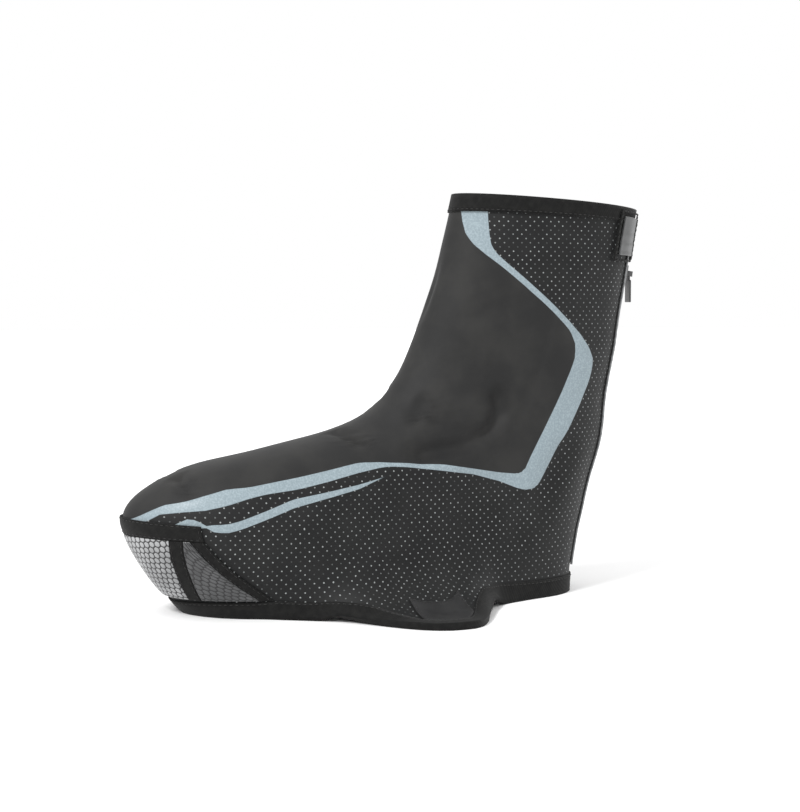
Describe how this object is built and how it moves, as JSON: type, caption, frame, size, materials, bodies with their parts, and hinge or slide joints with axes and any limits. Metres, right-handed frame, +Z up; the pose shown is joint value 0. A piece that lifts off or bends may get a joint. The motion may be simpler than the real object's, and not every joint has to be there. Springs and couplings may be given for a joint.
{
  "type": "cycling overshoe",
  "caption": "Left soft-shell cycling overshoe with a back zip, a collar strap, a coated toe cover, an open sole and two side flaps laid open on the floor",
  "frame": {"origin": "on the floor, under the middle of the cover's box", "axes": "+Y runs from the toe to the heel, +X to the outer side of the left foot, +Z up the shaft"},
  "size_m": [0.2238, 0.3474, 0.2588],
  "materials": {
    "soft_shell": "matte coated soft shell, near black, with pale reflective stripes and small light dots on the sides",
    "binding_tape": "black folded binding tape",
    "coated_panel": "dark grey coated fabric embossed with small scales",
    "plain_patch": "plain dark grey brushed patch",
    "fastener_tape": "black hook and loop tape",
    "zip_tape": "mid grey coated zip tape with a soft shine",
    "zip_coil": "black nylon coil",
    "black_metal": "black lacquered metal",
    "strap_webbing": "black woven strap with a fine grain",
    "grey_field": "silver grey reflective fabric"
  },
  "bodies": {
    "cover": {"upper": "soft_shell", "hem_binding": "binding_tape", "collar_binding": "binding_tape", "toe_front_panel": "coated_panel", "toe_side_panel_outer": "coated_panel", "toe_side_panel_inner": "coated_panel", "toe_front_tape_outer": "binding_tape", "toe_front_tape_inner": "binding_tape", "toe_rear_tape_outer": "binding_tape", "toe_rear_tape_inner": "binding_tape", "toe_top_band": "binding_tape", "flap_patch_outer": "plain_patch", "flap_hook_inner": "fastener_tape", "zip_tape_outer": "zip_tape", "zip_tape_inner": "zip_tape", "zip_coil": "zip_coil", "zip_stop": "zip_coil", "zip_slider": "black_metal", "collar_strap": "strap_webbing", "strap_patch_frame": "binding_tape", "strap_patch_field": "grey_field", "loop_patch": "fastener_tape"},
    "pull": {"zip_pull": "black_metal"}
  },
  "joints": [
    {"name": "pull_hinge", "type": "hinge", "parent": "cover", "child": "pull", "pos_m": [0, 0.1702, 0.2087], "axis": [1, 0, 0], "range_deg": [-20, 160]}
  ]
}
